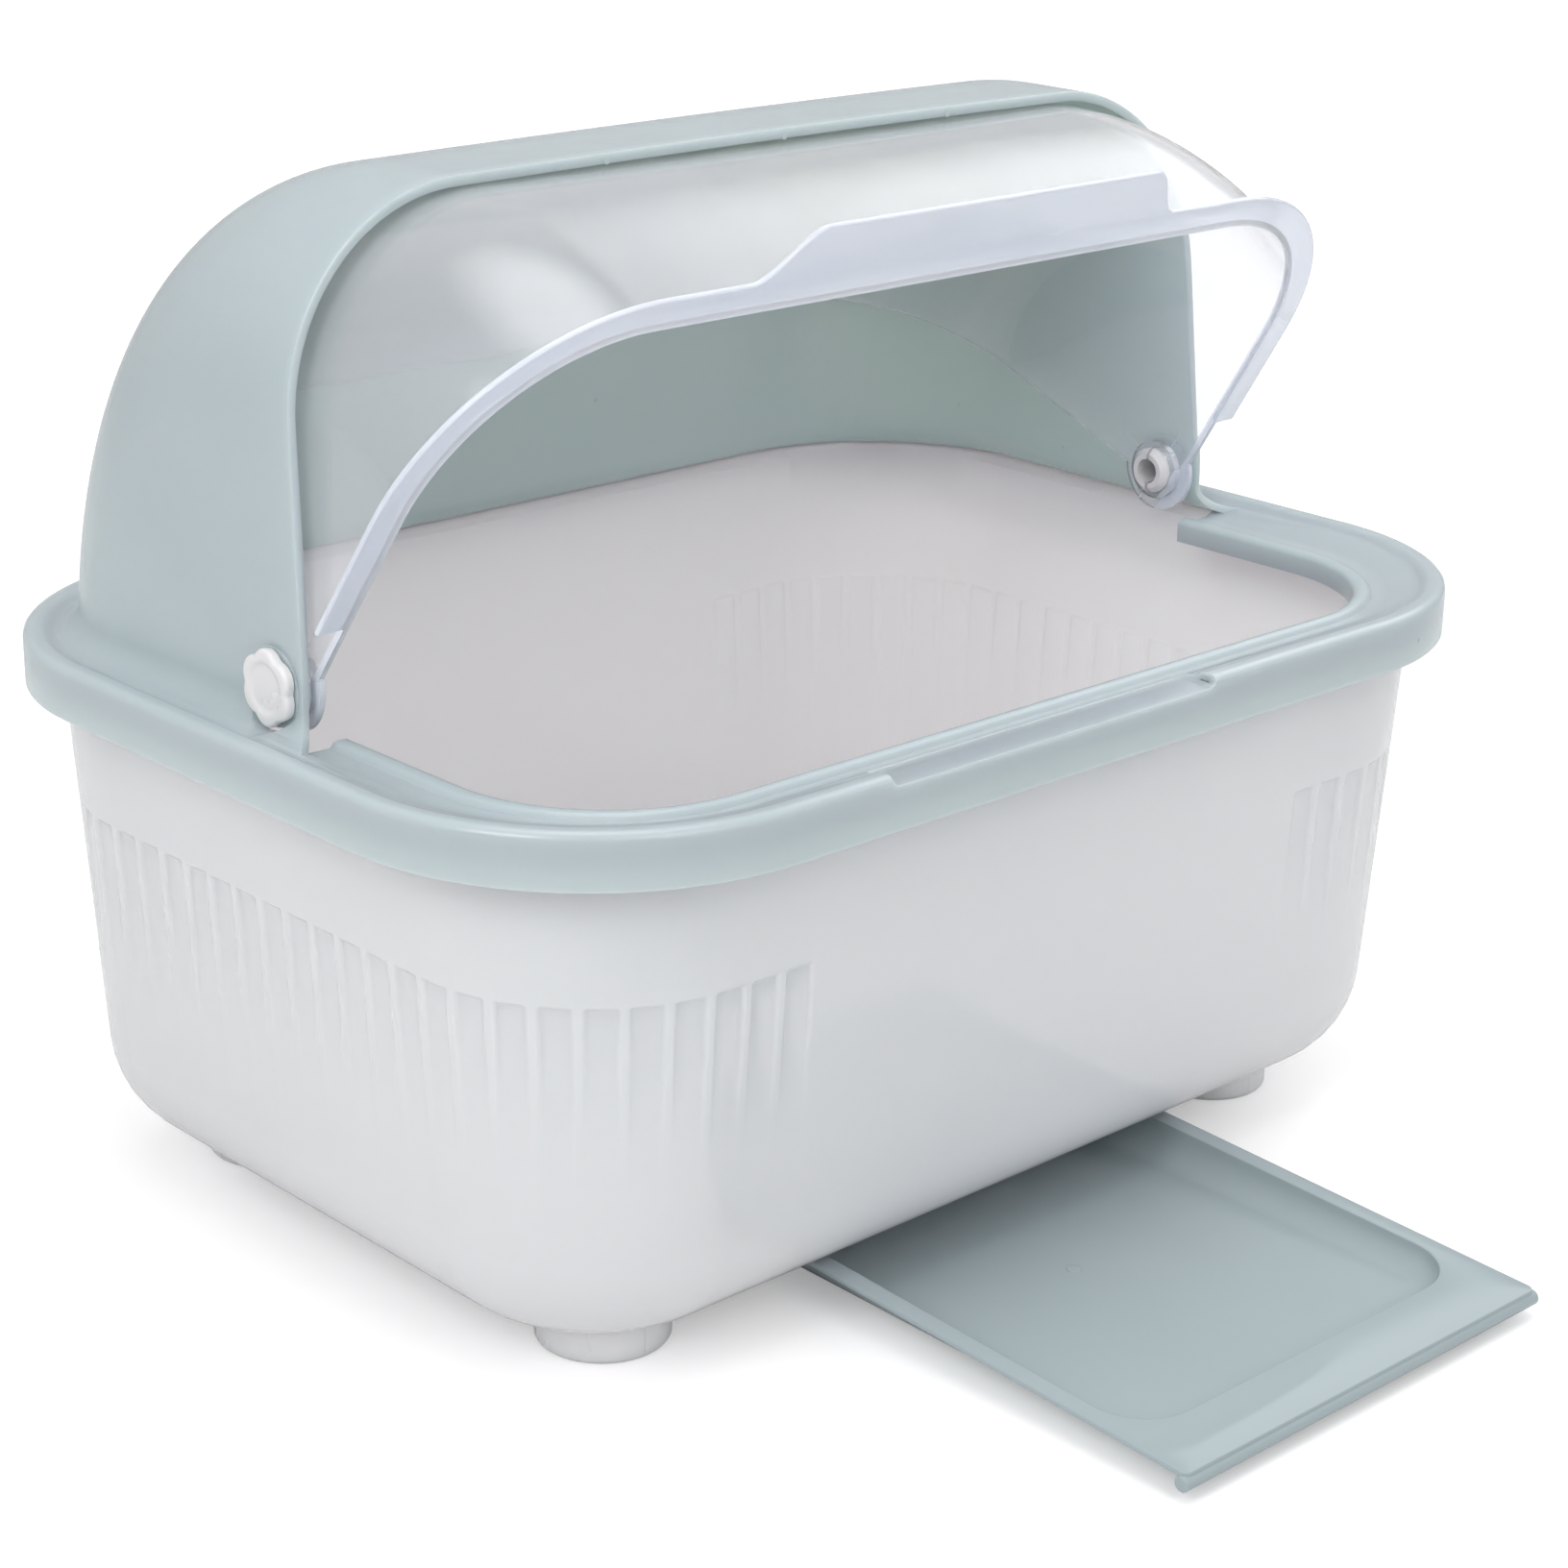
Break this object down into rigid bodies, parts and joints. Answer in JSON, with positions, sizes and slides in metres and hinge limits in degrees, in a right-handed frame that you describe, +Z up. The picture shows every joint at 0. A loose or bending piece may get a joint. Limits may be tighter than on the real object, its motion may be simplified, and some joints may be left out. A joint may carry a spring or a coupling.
{
  "type": "covered dish drainer",
  "caption": "Covered dish drainer: open tub on round feet, rim cover with a rear hood, hinged clear visor, lift-out rack and slide-out drip tray.",
  "frame": {"origin": "middle of the bounding box of all pieces at rest (tray pulled out, visor raised), on the table plane under the feet", "axes": "+X to the right as seen from the front, +Y to the back, +Z up"},
  "size_m": [0.45, 0.4471, 0.3534],
  "materials": {
    "tub_white": "moulded white plastic, glossy",
    "sage_cover": "moulded sage blue-grey plastic, glossy",
    "sage_tray": "moulded sage plastic, satin gloss",
    "clear_visor": "clear plastic with a slight milky tint, polished",
    "pin_white": "moulded white plastic",
    "rack_white": "moulded white plastic",
    "foot_white": "moulded white plastic"
  },
  "bodies": {
    "base": {"tub": "tub_white", "foot_front_left": "foot_white", "foot_front_right": "foot_white", "foot_rear_left": "foot_white", "foot_rear_right": "foot_white"},
    "cover": {"cover": "sage_cover", "pivot_pin_left": "pin_white", "pivot_pin_right": "pin_white"},
    "visor": {"visor": "clear_visor"},
    "tray": {"drip_tray": "sage_tray"},
    "rack": {"drain_rack": "rack_white"}
  },
  "joints": [
    {"name": "cover_lift", "type": "slide", "parent": "base", "child": "cover", "axis": [0, 0, 1], "range_m": [0, 0.06]},
    {"name": "visor_hinge", "type": "hinge", "parent": "cover", "child": "visor", "pos_m": [0, 0.04915, 0.2063], "axis": [-1, 0, 0], "range_deg": [-57, 20]},
    {"name": "tray_slide", "type": "slide", "parent": "base", "child": "tray", "axis": [0, -0.9992, -0.0398], "range_m": [-0.1535, 0.04]},
    {"name": "rack_lift", "type": "slide", "parent": "base", "child": "rack", "axis": [0, 0, 1], "range_m": [0, 0.1]}
  ]
}
